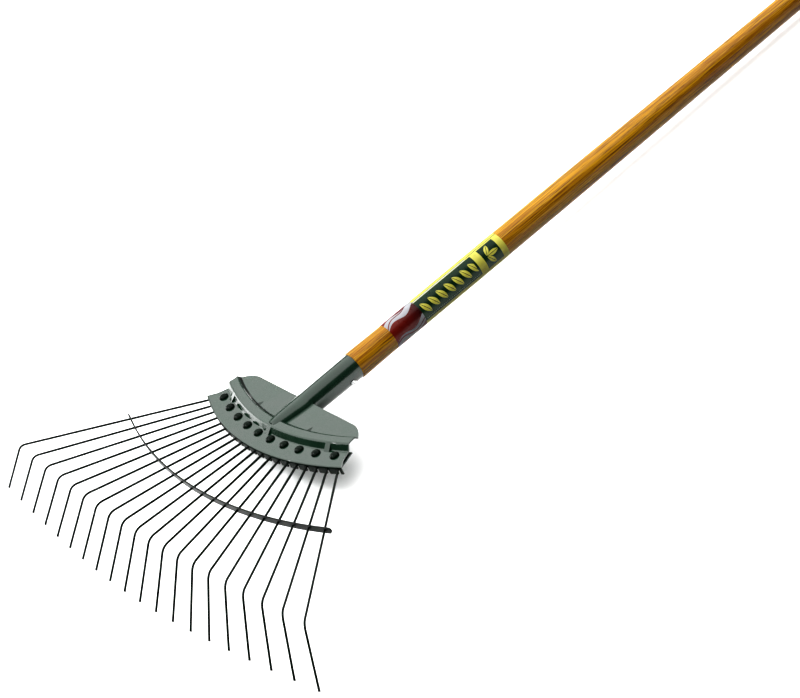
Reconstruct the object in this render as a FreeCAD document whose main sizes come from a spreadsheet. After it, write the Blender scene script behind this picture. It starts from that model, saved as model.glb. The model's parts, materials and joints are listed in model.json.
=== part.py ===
import FreeCAD, Part
import math
import os

# Spring-tine leaf rake: a pressed steel head holds hairpin spring wires, a brace strip spaces
# them half way down, and a turned ash handle is driven into the socket.
#
# Everything is drawn in the head's own frame: the wires lie in the plane z = 0 and fan out
# towards -Y from slots on an arc about the origin, and the handle runs towards +Y.
# At the end the whole rake is laid on level ground, on its tips and the end of the handle.

Vector = FreeCAD.Vector
Rotation = FreeCAD.Rotation
Placement = FreeCAD.Placement

X_AXIS = Vector(1, 0, 0)
Y_AXIS = Vector(0, 1, 0)
Z_AXIS = Vector(0, 0, 1)
ORIGIN = Vector(0, 0, 0)

doc = FreeCAD.newDocument("leaf_rake")

# Driving dimensions: lengths in millimetres, angles in degrees.
DIMENSIONS = [
    # hairpin spring wires
    ("pair_count", 10),
    ("wire_diameter", 2.4),
    ("root_radius", 322.0),
    ("slot_pitch_angle", 2.35),
    ("rivet_setback", 16.5),
    ("bend_distance", 134.5),
    ("bend_bow", 11.0),
    ("bend_angle", 50.5),
    ("bend_radius", 13.0),
    ("tip_length", 61.5),
    # brace strip
    ("brace_radius", 589.0),
    ("brace_distance", 67.0),
    ("brace_pitch_angle", 1.95),
    ("brace_height", 6.4),
    ("brace_thickness", 1.6),
    ("brace_overhang", 8.5),
    ("brace_hole_clearance", 0.15),
    # pressed head and the clamp plate under it
    ("sheet_thickness", 1.5),
    ("clamp_gap", 0.05),
    ("plate_depth", 70.5),
    ("end_margin_angle", 0.85),
    ("side_notch", 16.5),
    ("side_hollow", 1.2),
    ("side_flare", 7.5),
    ("back_corner", 27.0),
    ("wing_lap", 6.0),
    ("flange_drop", 5.4),
    ("fold_radius", 1.9),
    ("slot_side_clearance", 0.6),
    ("slot_top_clearance", 0.15),
    ("step_run", 4.0),
    ("step_rise", 6.2),
    ("step_setback", 22.0),
    ("bead_width", 9.5),
    ("bead_rise", 3.2),
    ("gusset_angle", 17.4),
    ("gusset_width", 6.5),
    ("gusset_reach", 3.6),
    ("dart_angle", 9.6),
    ("dart_width", 8.0),
    ("dart_length", 11.0),
    ("ridge_embed", 0.5),
    ("wing_overlap", 3.0),
    ("sweep_margin_angle", 1.0),
    ("back_plate_width", 23.0),
    # rivets
    ("rivet_shank_diameter", 6.0),
    ("rivet_hole_clearance", 0.1),
    ("rivet_head_diameter", 9.6),
    ("rivet_head_height", 3.4),
    ("rivet_tail_diameter", 9.0),
    ("rivet_tail_height", 1.8),
    ("rivet_tail_chamfer", 1.2),
    ("rivet_tail_rim", 0.4),
    ("rivet_head_rim", 0.85),
    # socket
    ("mouth_setback", 130.4),
    ("mouth_height", 2.7),
    ("handle_pitch", 2.1),
    ("socket_mouth_diameter", 27.0),
    ("socket_narrowing", 1.4),
    ("socket_wall", 1.6),
    ("tang_length", 31.0),
    ("tang_flare", 4.2),
    ("tang_tip_width", 17.0),
    ("tang_tip_height", 1.6),
    ("tang_lap", 5.0),
    ("tang_root_inset", 2.0),
    ("tang_root_drop", 1.2),
    ("tang_middle_share", 0.58),
    ("tang_middle_bulge", 0.6),
    ("tang_shoulder_out", 0.72),
    ("tang_shoulder_up", 0.70),
    ("tube_end_gap", 0.3),
    # handle
    ("handle_length", 1200.0),
    ("shoulder_diameter", 28.8),
    ("shoulder_chamfer", 1.2),
    ("label_zone_diameter", 27.6),
    ("waist_diameter", 26.4),
    ("grip_diameter", 24.0),
    ("label_zone_start", 40.0),
    ("label_zone_end", 200.0),
    ("waist_at", 375.0),
    ("grip_from", 610.0),
    ("tenon_length", 56.0),
    ("tenon_clearance", 0.1),
    # screw that holds the handle in the socket
    ("screw_from_mouth", 13.0),
    ("screw_angle", 30.0),
    ("screw_shank_diameter", 3.4),
    ("screw_length", 11.0),
    ("screw_head_diameter", 6.4),
    ("screw_head_height", 1.7),
    ("screw_clearance", 0.1),
    ("screw_rounding", 1.02),
    ("screw_slot_width", 1.024),
    # printed label
    ("label_from_mouth", 45.5),
    ("label_length", 148.5),
    ("label_thickness", 0.3),
    ("label_wrap_angle", 184.0),
    ("label_facing_angle", 43.0),
    ("label_clearance", 0.02),
]

sheet = doc.addObject("Spreadsheet::Sheet", "dimensions")
for row, (alias, number) in enumerate(DIMENSIONS, start=1):
    sheet.set("A%d" % row, alias)
    sheet.set("B%d" % row, str(number))
    sheet.setAlias("B%d" % row, alias)
doc.recompute()


def size(alias):
    return float(getattr(sheet, alias))


def bind(target, property_name, expression):
    target.setExpression(property_name, expression)


# Shared geometry.

wire_radius = size("wire_diameter") / 2
pair_count = int(size("pair_count"))
tine_count = 2 * pair_count
root_radius = size("root_radius")
sheet_thickness = size("sheet_thickness")
slot_pitch = math.radians(size("slot_pitch_angle"))
brace_pitch = math.radians(size("brace_pitch_angle"))
end_angle = slot_pitch * (tine_count - 1) / 2 + math.radians(size("end_margin_angle"))
wing_half_width = root_radius * math.sin(end_angle) - size("side_notch")
back_edge_y = -(root_radius - size("plate_depth"))

# heights of the sheet's top face
band_top = wire_radius + size("clamp_gap") + sheet_thickness
bead_top = band_top + size("step_rise")
wing_top = bead_top - size("bead_rise")

# radii of the pressed step and bead
step_foot_radius = root_radius - size("step_setback")
step_head_radius = step_foot_radius - size("step_run")
bead_inner_radius = step_head_radius - size("bead_width")

# handle frame: origin at the socket's mouth, local Z along the handle, local Y down
pitch = math.radians(size("handle_pitch"))
mouth = Vector(0, -(root_radius - size("mouth_setback")), size("mouth_height"))
handle_frame = Placement(mouth, Rotation(X_AXIS, size("handle_pitch") - 90))
socket_length = (mouth.y - back_edge_y) / math.cos(pitch)
mouth_radius = size("socket_mouth_diameter") / 2
socket_taper = size("socket_narrowing") / 2 / socket_length


def socket_radius(from_mouth):
    return mouth_radius - socket_taper * from_mouth


def tine_number_offset(index):
    """Tine index counted from the middle of the fan: -9.5 to 9.5."""
    return index - (tine_count - 1) / 2


def on_arc(radius, angle, centre_y=0.0):
    return Vector(radius * math.sin(angle), centre_y - radius * math.cos(angle), 0)


brace_centre_y = size("brace_radius") - root_radius - size("brace_distance")
bend_reach = root_radius + size("bend_distance")


def tine_line(index):
    """Slot point and direction of a tine, aimed at its own hole in the brace strip."""
    offset = tine_number_offset(index)
    slot = on_arc(root_radius, offset * slot_pitch)
    hole = on_arc(size("brace_radius"), offset * brace_pitch, brace_centre_y)
    return slot, (hole - slot).normalize()


def bend_point(index):
    """Where the tine's line meets the shallow arc that the bends lie on."""
    slot, direction = tine_line(index)
    outer_slot, outer_direction = tine_line(tine_count - 1)
    half_span = outer_slot.x + outer_direction.x * (
        (outer_slot.y + bend_reach) / -outer_direction.y)
    bow_radius = (half_span ** 2 + size("bend_bow") ** 2) / (2 * size("bend_bow"))
    centre = Vector(0, bow_radius - bend_reach, 0)
    start = slot - centre
    along = start.dot(direction)
    distance = -along + math.sqrt(along ** 2 - start.Length ** 2 + bow_radius ** 2)
    return slot + direction * distance


def tip_direction(direction):
    bend = math.radians(size("bend_angle"))
    return direction * math.cos(bend) - Z_AXIS * math.sin(bend)


# ground line through the middle tip's lower corner and the underside of the handle's end
middle_tip = Vector(0, -bend_reach, 0) + tip_direction(-Y_AXIS) * size("tip_length")
bend = math.radians(size("bend_angle"))
tip_corner = middle_tip + Vector(0, math.sin(bend), -math.cos(bend)) * wire_radius
grip_radius = size("grip_diameter") / 2
grip_underside = handle_frame.multVec(Vector(0, grip_radius, size("handle_length") - grip_radius))
ground_slope = math.atan2(grip_underside.z - tip_corner.z, grip_underside.y - tip_corner.y)
ground_normal = Vector(0, -math.sin(ground_slope), math.cos(ground_slope))


def tip_point(index):
    """The tip's centre, so far down that the cut end just touches the ground."""
    slot, direction = tine_line(index)
    corner = bend_point(index)
    down = tip_direction(direction)
    sine = down.dot(ground_normal)
    rim = wire_radius * math.sqrt(1 - sine ** 2)
    height = (corner - tip_corner).dot(ground_normal)
    return corner + down * ((rim - height) / sine)


def pair_centre(pair):
    """Centre and radius of the loop that joins the two legs of a hairpin."""
    slot_a, direction_a = tine_line(2 * pair)
    slot_b, direction_b = tine_line(2 * pair + 1)
    middle = (slot_a + slot_b) * 0.5
    bisector = (direction_a + direction_b).normalize()
    centre = middle - bisector * size("rivet_setback")
    across = centre - slot_a
    loop_radius = (across - direction_a * across.dot(direction_a)).Length
    return centre, loop_radius


# Helpers.

nodes = []


def keep(name, feature, local_placement):
    """Records a finished sub-part, its file name and where it sits in the head's frame."""
    feature.Label = name
    nodes.append((name, feature, local_placement))


def shape_feature(name, shape):
    feature = doc.addObject("Part::Feature", name + "_solid")
    feature.Shape = shape
    return feature


def origin_plane(body, role):
    return [plane for plane in body.Origin.OriginFeatures if plane.Role == role][0]


def body_sketch(body, name, role):
    sketch = body.newObject("Sketcher::SketchObject", name)
    sketch.AttachmentSupport = (origin_plane(body, role), [""])
    sketch.MapMode = "FlatFace"
    return sketch


def line(start, end):
    return Part.LineSegment(start, end).toShape()


def arc(start, middle, end):
    return Part.Arc(start, middle, end).toShape()


def rounded_path(points, radii):
    """Edges along the points, each inner corner rounded to its radius."""
    edges = []
    here = points[0]
    for before, corner, ahead, radius in zip(points, points[1:], points[2:], radii):
        back = (before - corner).normalize()
        forth = (ahead - corner).normalize()
        half_turn = (math.pi - back.getAngle(forth)) / 2
        cut = radius * math.tan(half_turn)
        start = corner + back * cut
        end = corner + forth * cut
        inward = (back + forth).normalize()
        middle = corner + inward * (radius / math.cos(half_turn) - radius)
        edges.append(line(here, start))
        edges.append(arc(start, middle, end))
        here = end
    edges.append(line(here, points[-1]))
    return edges


def ring(points):
    """Straight edges round a closed outline."""
    return [line(start, end) for start, end in zip(points, points[1:] + points[:1])]


def turned(profile_edges, start_angle, sweep_angle):
    """Revolves a closed profile, drawn in the plane x = 0 as (0, -r, z), about the z axis."""
    face = Part.Face(Part.Wire(profile_edges))
    solid = face.revolve(ORIGIN, Z_AXIS, math.degrees(sweep_angle))
    return solid.rotated(ORIGIN, Z_AXIS, math.degrees(start_angle))


def at_radius(radius, z):
    return Vector(0, -radius, z)


# Head plate.

def sheet_profile():
    """Cross-section of the pressing from the flange's lower edge to the wing."""
    outer = root_radius + sheet_thickness / 2
    wing_start = bead_inner_radius - size("bead_rise")
    top = [
        at_radius(outer, -size("flange_drop")),
        at_radius(outer, band_top),
        at_radius(step_foot_radius, band_top),
        at_radius(step_head_radius, bead_top),
        at_radius(bead_inner_radius, bead_top),
        at_radius(wing_start, wing_top),
        at_radius(wing_start - size("wing_lap"), wing_top),
    ]
    under = []
    for index, point in enumerate(top):
        ahead = (top[min(index + 1, len(top) - 1)] - top[min(index, len(top) - 2)]).normalize()
        behind = (top[max(index, 1)] - top[max(index - 1, 0)]).normalize()
        normal_ahead = X_AXIS.cross(ahead)
        normal_behind = X_AXIS.cross(behind)
        mitre = (normal_ahead + normal_behind).normalize()
        under.append(point - mitre * (sheet_thickness / mitre.dot(normal_ahead)))
    fold = size("fold_radius")
    soft = sheet_thickness
    top_edges = rounded_path(top, [fold, soft, soft + sheet_thickness, soft, soft / 2])
    under_edges = rounded_path(
        under, [fold - sheet_thickness, soft + sheet_thickness, soft, soft / 2, soft])
    caps = [line(top[0], under[0]), line(top[-1], under[-1])]
    return Part.__sortEdges__(top_edges + under_edges + caps)


# points of the rounded back corner: shares of back_corner inwards and towards the tines
CORNER_CURVE = {
    "shoulder": (1, 0),
    "shoulder_bulge": (0.45, 0.085),
    "crest": (0.1, 0.31),
    "crest_bulge": (0, 0.42),
    "waist": (0, 0.56),
}


def plate_outline():
    """Plan of the plate: straight back edge, rounded corners and hollow sides."""
    corner = size("back_corner")
    top_corner = Vector(wing_half_width, back_edge_y, 0)

    def from_corner(name):
        inward, down = CORNER_CURVE[name]
        return top_corner + Vector(-inward, -down, 0) * corner

    shoulder = from_corner("shoulder")
    crest = from_corner("crest")
    waist = from_corner("waist")
    end = on_arc(root_radius, end_angle)
    clear_of_flange = 4 * sheet_thickness
    outer = on_arc(root_radius + clear_of_flange, end_angle)
    flare = end + Vector(-size("side_flare"), size("side_flare"), 0)
    along_side = (flare - waist).normalize()
    hollow = (waist + flare) * 0.5 + along_side.cross(Z_AXIS) * size("side_hollow")
    half = [
        arc(shoulder, from_corner("shoulder_bulge"), crest),
        arc(crest, from_corner("crest_bulge"), waist),
        arc(waist, hollow, flare),
        line(flare, end),
        line(end, outer),
    ]
    other = [edge.mirror(ORIGIN, X_AXIS) for edge in half]
    front = arc(outer, on_arc(outer.Length, 0), Vector(-outer.x, outer.y, 0))
    back = line(shoulder, Vector(-shoulder.x, shoulder.y, 0))
    return Part.Face(Part.Wire(Part.__sortEdges__(half + other + [front, back])))


# the ridges start this share of the thickness inside the sheet and stay this far under its skin
RIDGE_SHARE = 0.3
RIDGE_SKIN = 0.05


def radial_wedge(angle):
    """Short ramp pressed across the step, to stiffen it."""
    run = size("step_run") + size("gusset_reach")
    head = step_head_radius - RIDGE_SHARE * sheet_thickness
    middle = sheet_thickness / 2
    corners = [
        at_radius(head, bead_top - 2 * RIDGE_SKIN),
        at_radius(head + run, band_top - 2 * RIDGE_SKIN),
        at_radius(head + run, band_top - middle),
        at_radius(step_foot_radius, band_top - middle),
        at_radius(head, bead_top - middle),
    ]
    width = size("gusset_width") / step_foot_radius
    return turned(ring(corners), angle - width / 2, width)


def wing_dart(side):
    """Small pointed ridge that runs from the bead into the wing."""
    angle = math.radians(size("dart_angle")) * side
    half = size("dart_width") / 2 / bead_inner_radius
    inner = bead_inner_radius + size("ridge_embed")
    low = wing_top - RIDGE_SHARE * sheet_thickness
    crest = on_arc(inner, angle) + Z_AXIS * (bead_top - RIDGE_SKIN)
    left = on_arc(inner, angle - half) + Z_AXIS * low
    right = on_arc(inner, angle + half) + Z_AXIS * low
    point = on_arc(inner - size("dart_length"), angle) + Z_AXIS * low
    triangles = [(crest, left, right), (crest, right, point), (crest, point, left), (left, point, right)]
    faces = [Part.Face(Part.makePolygon(list(each) + [each[0]])) for each in triangles]
    solid = Part.Solid(Part.Shell(faces))
    solid.fix(1e-4, 1e-4, 1e-4)
    return solid


def rivet_holes():
    radius = size("rivet_shank_diameter") / 2 + size("rivet_hole_clearance")
    height = 8 * sheet_thickness
    holes = []
    for pair in range(pair_count):
        centre, unused = pair_centre(pair)
        holes.append(Part.makeCylinder(radius, height, centre - Z_AXIS * height / 2))
    return holes


def outline_prism():
    """The plate's plan, as a block that reaches well above and below it."""
    reach = 2 * size("flange_drop") + bead_top
    prism = plate_outline().extrude(Z_AXIS * 2 * reach)
    prism.translate(Z_AXIS * -reach)
    return prism


def make_head_plate():
    over = math.radians(size("sweep_margin_angle"))
    pressing = turned(sheet_profile(), -end_angle - over, 2 * (end_angle + over))
    wing_disc = Part.makeCylinder(bead_inner_radius - size("wing_overlap"), sheet_thickness,
                                  Vector(0, 0, wing_top - sheet_thickness))
    outline = outline_prism()
    wing = wing_disc.common(outline)
    solid = pressing.common(outline).fuse(wing)
    ridges = [radial_wedge(math.radians(size("gusset_angle")) * side) for side in (-1, 0, 1)]
    ridges += [wing_dart(side) for side in (-1, 1)]
    solid = solid.fuse(ridges).removeSplitter()
    slots = []
    depth = size("flange_drop") + wire_radius + size("slot_top_clearance")
    width = size("wire_diameter") + 2 * size("slot_side_clearance")
    through = 6 * sheet_thickness
    for index in range(tine_count):
        slot, direction = tine_line(index)
        corner = Vector(-width / 2, -through / 2, -size("flange_drop") - sheet_thickness)
        cutter = Part.makeBox(width, through, depth + sheet_thickness, corner)
        angle = math.degrees(tine_number_offset(index) * slot_pitch)
        cutter.Placement = Placement(slot, Rotation(Z_AXIS, angle))
        slots.append(cutter)
    return solid.cut(slots + rivet_holes())


head_plate = make_head_plate()
keep("head_plate", shape_feature("head_plate", head_plate), Placement())


# Clamp plate under the wires.

def make_back_plate():
    top = -wire_radius - size("clamp_gap")
    outer = root_radius - sheet_thickness / 2 - size("fold_radius")
    inner = outer - size("back_plate_width")
    corners = [at_radius(outer, top), at_radius(outer, top - sheet_thickness),
               at_radius(inner, top - sheet_thickness), at_radius(inner, top)]
    half_angle = end_angle - math.radians(size("end_margin_angle"))
    plate = turned(ring(corners), -half_angle, 2 * half_angle)
    return plate.common(outline_prism()).cut(rivet_holes())


keep("back_plate", shape_feature("back_plate", make_back_plate()), Placement())


# Hairpin spring wires.

def leg_edges(index, loop_centre):
    """From the loop's tangent point out to the tip, with the bend near the end."""
    slot, direction = tine_line(index)
    start = slot + direction * (loop_centre - slot).dot(direction)
    corner = bend_point(index)
    tip = tip_point(index)
    return start, rounded_path([start, corner, tip], [size("bend_radius")])


def make_tine_pair(pair):
    """One length of round wire, swept down one leg, round the loop and up the other."""
    mirror_pair = pair_count - 1 - pair
    if pair > mirror_pair:
        return make_tine_pair(mirror_pair).mirror(ORIGIN, X_AXIS)
    centre, loop_radius = pair_centre(pair)
    start_a, leg_a = leg_edges(2 * pair, centre)
    start_b, leg_b = leg_edges(2 * pair + 1, centre)
    back = centre - (tine_line(2 * pair)[1] + tine_line(2 * pair + 1)[1]).normalize() * loop_radius
    loop = arc(start_a, back, start_b)
    path = Part.Wire(Part.__sortEdges__(leg_a + [loop] + leg_b))
    section = Part.makeCircle(wire_radius, tip_point(2 * pair), tip_direction(tine_line(2 * pair)[1]))
    return path.makePipeShell([Part.Wire(section)], True, True)


for pair in range(pair_count):
    name = "tine_pair_%02d" % (pair + 1)
    keep(name, shape_feature(name, make_tine_pair(pair)), Placement())


# Brace strip.

def make_brace():
    radius = size("brace_radius")
    half = size("brace_thickness") / 2
    height = size("brace_height")
    end = brace_pitch * (tine_count - 1) / 2 + size("brace_overhang") / radius
    straight_end = end - height / 2 / radius
    corners = [at_radius(radius + half, -height / 2), at_radius(radius - half, -height / 2),
               at_radius(radius - half, height / 2), at_radius(radius + half, height / 2)]
    strip = turned(ring(corners), -straight_end, 2 * straight_end)
    for side in (-1, 1):
        angle = straight_end * side
        outward = on_arc(1, angle)
        start = on_arc(radius - half, angle)
        strip = strip.fuse(Part.makeCylinder(height / 2, 2 * half, start, outward))
    strip = strip.removeSplitter()
    strip.translate(Vector(0, brace_centre_y, 0))
    holes = []
    for index in range(tine_count):
        slot, direction = tine_line(index)
        hole = on_arc(radius, tine_number_offset(index) * brace_pitch, brace_centre_y)
        bore = wire_radius + size("brace_hole_clearance")
        holes.append(Part.makeCylinder(bore, 12 * half, hole - direction * 6 * half, direction))
    return strip.cut(holes)


keep("brace_strip", shape_feature("brace_strip", make_brace()), Placement())


# Rivets.

def make_rivet(pair):
    """Domed head on the band, shank through both plates, low closed head underneath."""
    name = "rivet_%02d" % (pair + 1)
    body = doc.addObject("PartDesign::Body", name)
    sketch = body_sketch(body, name + "_profile", "XZ_Plane")
    shank = size("rivet_shank_diameter") / 2
    head = size("rivet_head_diameter") / 2
    tail = size("rivet_tail_diameter") / 2
    stack = 2 * (wire_radius + size("clamp_gap") + sheet_thickness)
    top = size("rivet_head_height")
    low = -stack - size("rivet_tail_height")
    rim = size("rivet_head_rim")
    outline = [(0, top), (0, low), (tail - size("rivet_tail_chamfer"), low),
               (tail, -stack - size("rivet_tail_rim")), (tail, -stack),
               (shank, -stack), (shank, 0), (head, 0), (head, rim)]
    points = [Vector(px, py, 0) for px, py in outline]
    for start, end in zip(points, points[1:]):
        sketch.addGeometry(Part.LineSegment(start, end), False)
    dome_radius = (head ** 2 + (top - rim) ** 2) / (2 * (top - rim))
    half_dome = math.asin(head / dome_radius) / 2
    shoulder = Vector(dome_radius * math.sin(half_dome),
                      top - dome_radius * (1 - math.cos(half_dome)), 0)
    sketch.addGeometry(Part.Arc(points[-1], shoulder, points[0]), False)
    turn = body.newObject("PartDesign::Revolution", name + "_turned")
    turn.Profile = sketch
    turn.ReferenceAxis = (sketch, ["V_Axis"])
    turn.Angle = 360
    body.Tip = turn
    centre, unused = pair_centre(pair)
    keep(name, body, Placement(centre + Z_AXIS * band_top, Rotation()))


for pair in range(pair_count):
    make_rivet(pair)


# Socket.

def d_section(y, half_width, base_z, top_z):
    """Arched section across the tang: flat underside, rounded back."""
    left = Vector(-half_width, y, base_z)
    right = Vector(half_width, y, base_z)
    out = size("tang_shoulder_out") * half_width
    shoulder_z = base_z + size("tang_shoulder_up") * (top_z - base_z)
    left_shoulder = Vector(-out, y, shoulder_z)
    right_shoulder = Vector(out, y, shoulder_z)
    crown = Vector(0, y, top_z)
    curve = Part.BSplineCurve()
    curve.interpolate([left, left_shoulder, crown, right_shoulder, right])
    return Part.Wire([curve.toShape(), line(right, left)])


def make_socket():
    wall = size("socket_wall")
    root_end_radius = socket_radius(socket_length)
    lap = size("tang_lap")
    length = socket_length + lap
    low_radius = socket_radius(length)
    down_handle = Vector(0, 0, -1)
    outer = Part.makeCone(mouth_radius, low_radius, length, ORIGIN, down_handle)
    bore = Part.makeCone(mouth_radius - wall, low_radius - wall, length, ORIGIN, down_handle)
    outer.Placement = handle_frame
    bore.Placement = handle_frame
    tube_top = mouth.z - socket_length * math.sin(pitch) + root_end_radius
    start = back_edge_y + lap
    end = back_edge_y - size("tang_length")
    base = wing_top
    tip_half = size("tang_tip_width") / 2
    tip_top = bead_top + size("tang_tip_height")
    wide = root_end_radius + size("tang_flare")
    near_half = wide - size("tang_root_inset")
    near_top = tube_top - size("tang_root_drop")
    middle_y = (back_edge_y + end) / 2
    middle_top = base + size("tang_middle_share") * (tube_top - base)
    middle_half = 0.5 * (wide + tip_half) + size("tang_middle_bulge")
    start_top = tube_top + lap * math.sin(pitch)
    tip_wall = 0.8 * wall  # the tip is beaten thinner
    outside = Part.makeLoft([
        d_section(start, root_end_radius, base, start_top),
        d_section(back_edge_y - lap, near_half, base, near_top),
        d_section(middle_y, middle_half, base, middle_top),
        d_section(end, tip_half, base, tip_top)], True)
    inside = Part.makeLoft([
        d_section(start, root_end_radius - wall, base, start_top - wall),
        d_section(back_edge_y - lap, near_half - wall, base, near_top - wall),
        d_section(middle_y, middle_half - wall, base, middle_top - wall),
        d_section(end + wall, tip_half - wall, base, tip_top - tip_wall)], True)
    # the tube stops at the plate's back edge, and only the tang's arch goes on over the wing
    reach = 4 * mouth_radius
    behind = Part.makeBox(2 * reach, socket_length + reach, 2 * reach,
                          Vector(-reach, back_edge_y + size("tube_end_gap"), -reach))
    shell = outer.common(behind).fuse(outside).cut([bore.common(behind), inside])
    hole_radius = size("screw_shank_diameter") / 2 + size("screw_clearance")
    hole = Part.makeCylinder(hole_radius, 3 * mouth_radius)
    hole.Placement = handle_frame.multiply(screw_frame(0))
    return shell.cut([hole, head_plate]).removeSplitter()


screw_seat = max(socket_radius(size("screw_from_mouth") + side * size("screw_head_diameter") / 2)
                 for side in (-1, 1))


def screw_frame(radius):
    """Local Z points out of the socket's side, at the given distance from its axis."""
    angle = math.radians(size("screw_angle"))
    outward = Vector(math.cos(angle), math.sin(angle), 0)
    base = outward * radius - Z_AXIS * size("screw_from_mouth")
    return Placement(base, Rotation(Z_AXIS, outward))


keep("socket", shape_feature("socket", make_socket()), Placement())


# Handle.

def make_handle():
    body = doc.addObject("PartDesign::Body", "handle_turning")
    sketch = body_sketch(body, "handle_profile", "XZ_Plane")
    fit = size("tenon_clearance")
    tenon = mouth_radius - size("socket_wall") - fit
    tenon_end = tenon - socket_taper * size("tenon_length")
    shoulder = size("shoulder_diameter") / 2
    chamfer = size("shoulder_chamfer")
    grip = size("grip_diameter") / 2
    length = size("handle_length")
    outline = [
        (0, -size("tenon_length")),
        (tenon_end, -size("tenon_length")),
        (tenon, fit),
        (shoulder - chamfer, fit),
        (shoulder, fit + chamfer),
        (size("label_zone_diameter") / 2, size("label_zone_start")),
        (size("label_zone_diameter") / 2, size("label_zone_end")),
        (size("waist_diameter") / 2, size("waist_at")),
        (grip, size("grip_from")),
        (grip, length - grip),
    ]
    points = [Vector(px, py, 0) for px, py in outline]
    for start, end in zip(points, points[1:]):
        sketch.addGeometry(Part.LineSegment(start, end), False)
    pole = Vector(0, length, 0)
    quarter = math.sqrt(0.5) * grip
    sketch.addGeometry(Part.Arc(points[-1], Vector(quarter, length - grip + quarter, 0), pole), False)
    sketch.addGeometry(Part.LineSegment(pole, points[0]), False)
    turn = body.newObject("PartDesign::Revolution", "handle_turned")
    turn.Profile = sketch
    turn.ReferenceAxis = (sketch, ["V_Axis"])
    turn.Angle = 360
    body.Tip = turn
    doc.recompute()
    pilot = doc.addObject("Part::Cylinder", "handle_pilot_hole")
    bind(pilot, "Radius", "dimensions.screw_shank_diameter / 2 + dimensions.screw_clearance")
    bind(pilot, "Height", "dimensions.screw_length + dimensions.socket_wall")
    pilot.Placement = screw_frame(screw_seat - size("screw_length") - size("screw_clearance"))
    handle = doc.addObject("Part::Cut", "handle_cut")
    handle.Base = body
    handle.Tool = pilot
    return handle


keep("handle", make_handle(), handle_frame)


# Screw in the socket's side.

def make_screw():
    """Pan head against the socket, shank through its wall into the wood."""
    head = doc.addObject("Part::Cylinder", "screw_head")
    bind(head, "Radius", "dimensions.screw_head_diameter / 2")
    bind(head, "Height", "dimensions.screw_head_height")
    shank = doc.addObject("Part::Cylinder", "screw_shank")
    bind(shank, "Radius", "dimensions.screw_shank_diameter / 2")
    bind(shank, "Height", "dimensions.screw_length")
    shank.Placement = Placement(Z_AXIS * -size("screw_length"), Rotation())
    joined = doc.addObject("Part::Fuse", "screw_blank")
    joined.Base = head
    joined.Tool = shank
    doc.recompute()
    rounded = doc.addObject("Part::Fillet", "screw_rounded")
    rounded.Base = joined
    top_edges = []
    for number, edge in enumerate(joined.Shape.Edges, start=1):
        if abs(edge.BoundBox.ZMin - size("screw_head_height")) < 1e-6:
            top_edges.append((number, size("screw_rounding"), size("screw_rounding")))
    rounded.Edges = top_edges
    slot = doc.addObject("Part::Box", "screw_slot")
    bind(slot, "Length", "2 * dimensions.screw_head_diameter")
    bind(slot, "Width", "dimensions.screw_slot_width")
    bind(slot, "Height", "dimensions.screw_head_height")
    slot.Placement = Placement(Vector(-size("screw_head_diameter"), -size("screw_slot_width") / 2,
                                      size("screw_head_height") / 2), Rotation())
    screw = doc.addObject("Part::Cut", "screw_cut")
    screw.Base = rounded
    screw.Tool = slot
    return screw


keep("socket_screw", make_screw(), handle_frame.multiply(screw_frame(screw_seat)))


# Printed label.

def make_label():
    """Film wrapped most of the way round the handle."""
    outer = doc.addObject("Part::Cylinder", "label_outside")
    bind(outer, "Radius", "dimensions.label_zone_diameter / 2 + dimensions.label_thickness")
    bind(outer, "Height", "dimensions.label_length")
    bind(outer, "Angle", "dimensions.label_wrap_angle")
    inner = doc.addObject("Part::Cylinder", "label_inside")
    bind(inner, "Radius", "dimensions.label_zone_diameter / 2 + dimensions.label_clearance")
    bind(inner, "Height", "dimensions.label_length")
    label = doc.addObject("Part::Cut", "label_film")
    label.Base = outer
    label.Tool = inner
    return label


# the label's middle faces up and to the right, the facing angle above the level
label_turn = -size("label_facing_angle") - size("label_wrap_angle") / 2
label_frame = Placement(Z_AXIS * size("label_from_mouth"), Rotation(Z_AXIS, label_turn))
keep("label_sleeve", make_label(), handle_frame.multiply(label_frame))


# Lay the rake on the ground.

doc.recompute()
level = Rotation(X_AXIS, -math.degrees(ground_slope))
laid = Placement(ORIGIN, level)
grip_end = handle_frame.multVec(Vector(0, 0, size("handle_length") - grip_radius))
front_y = laid.multVec(middle_tip).y - wire_radius * math.sin(bend - ground_slope)
back_y = laid.multVec(grip_end).y + grip_radius
ground_z = laid.multVec(tip_corner).z
rest = Placement(Vector(0, -(front_y + back_y) / 2, -ground_z), level)

for name, feature, local_placement in nodes:
    feature.Placement = rest.multiply(local_placement)
doc.recompute()

os.makedirs("parts", exist_ok=True)
for item in doc.Objects:
    if "Invalid" in item.State or "Error" in item.State:
        raise RuntimeError("%s did not compute" % item.Name)
for name, feature, local_placement in nodes:
    shape = feature.Shape
    if shape.isNull() or not shape.isValid() or not shape.Solids:
        raise RuntimeError("%s has no valid solid" % name)
for name, feature, local_placement in nodes:
    feature.Shape.exportStep("parts/%s.step" % name)
    box = feature.Shape.BoundBox
    print("%-14s solids %d volume %9.1f  x %.1f..%.1f  y %.1f..%.1f  z %.1f..%.1f" % (
        name, len(feature.Shape.Solids), feature.Shape.Volume,
        box.XMin, box.XMax, box.YMin, box.YMax, box.ZMin, box.ZMax))
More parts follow.
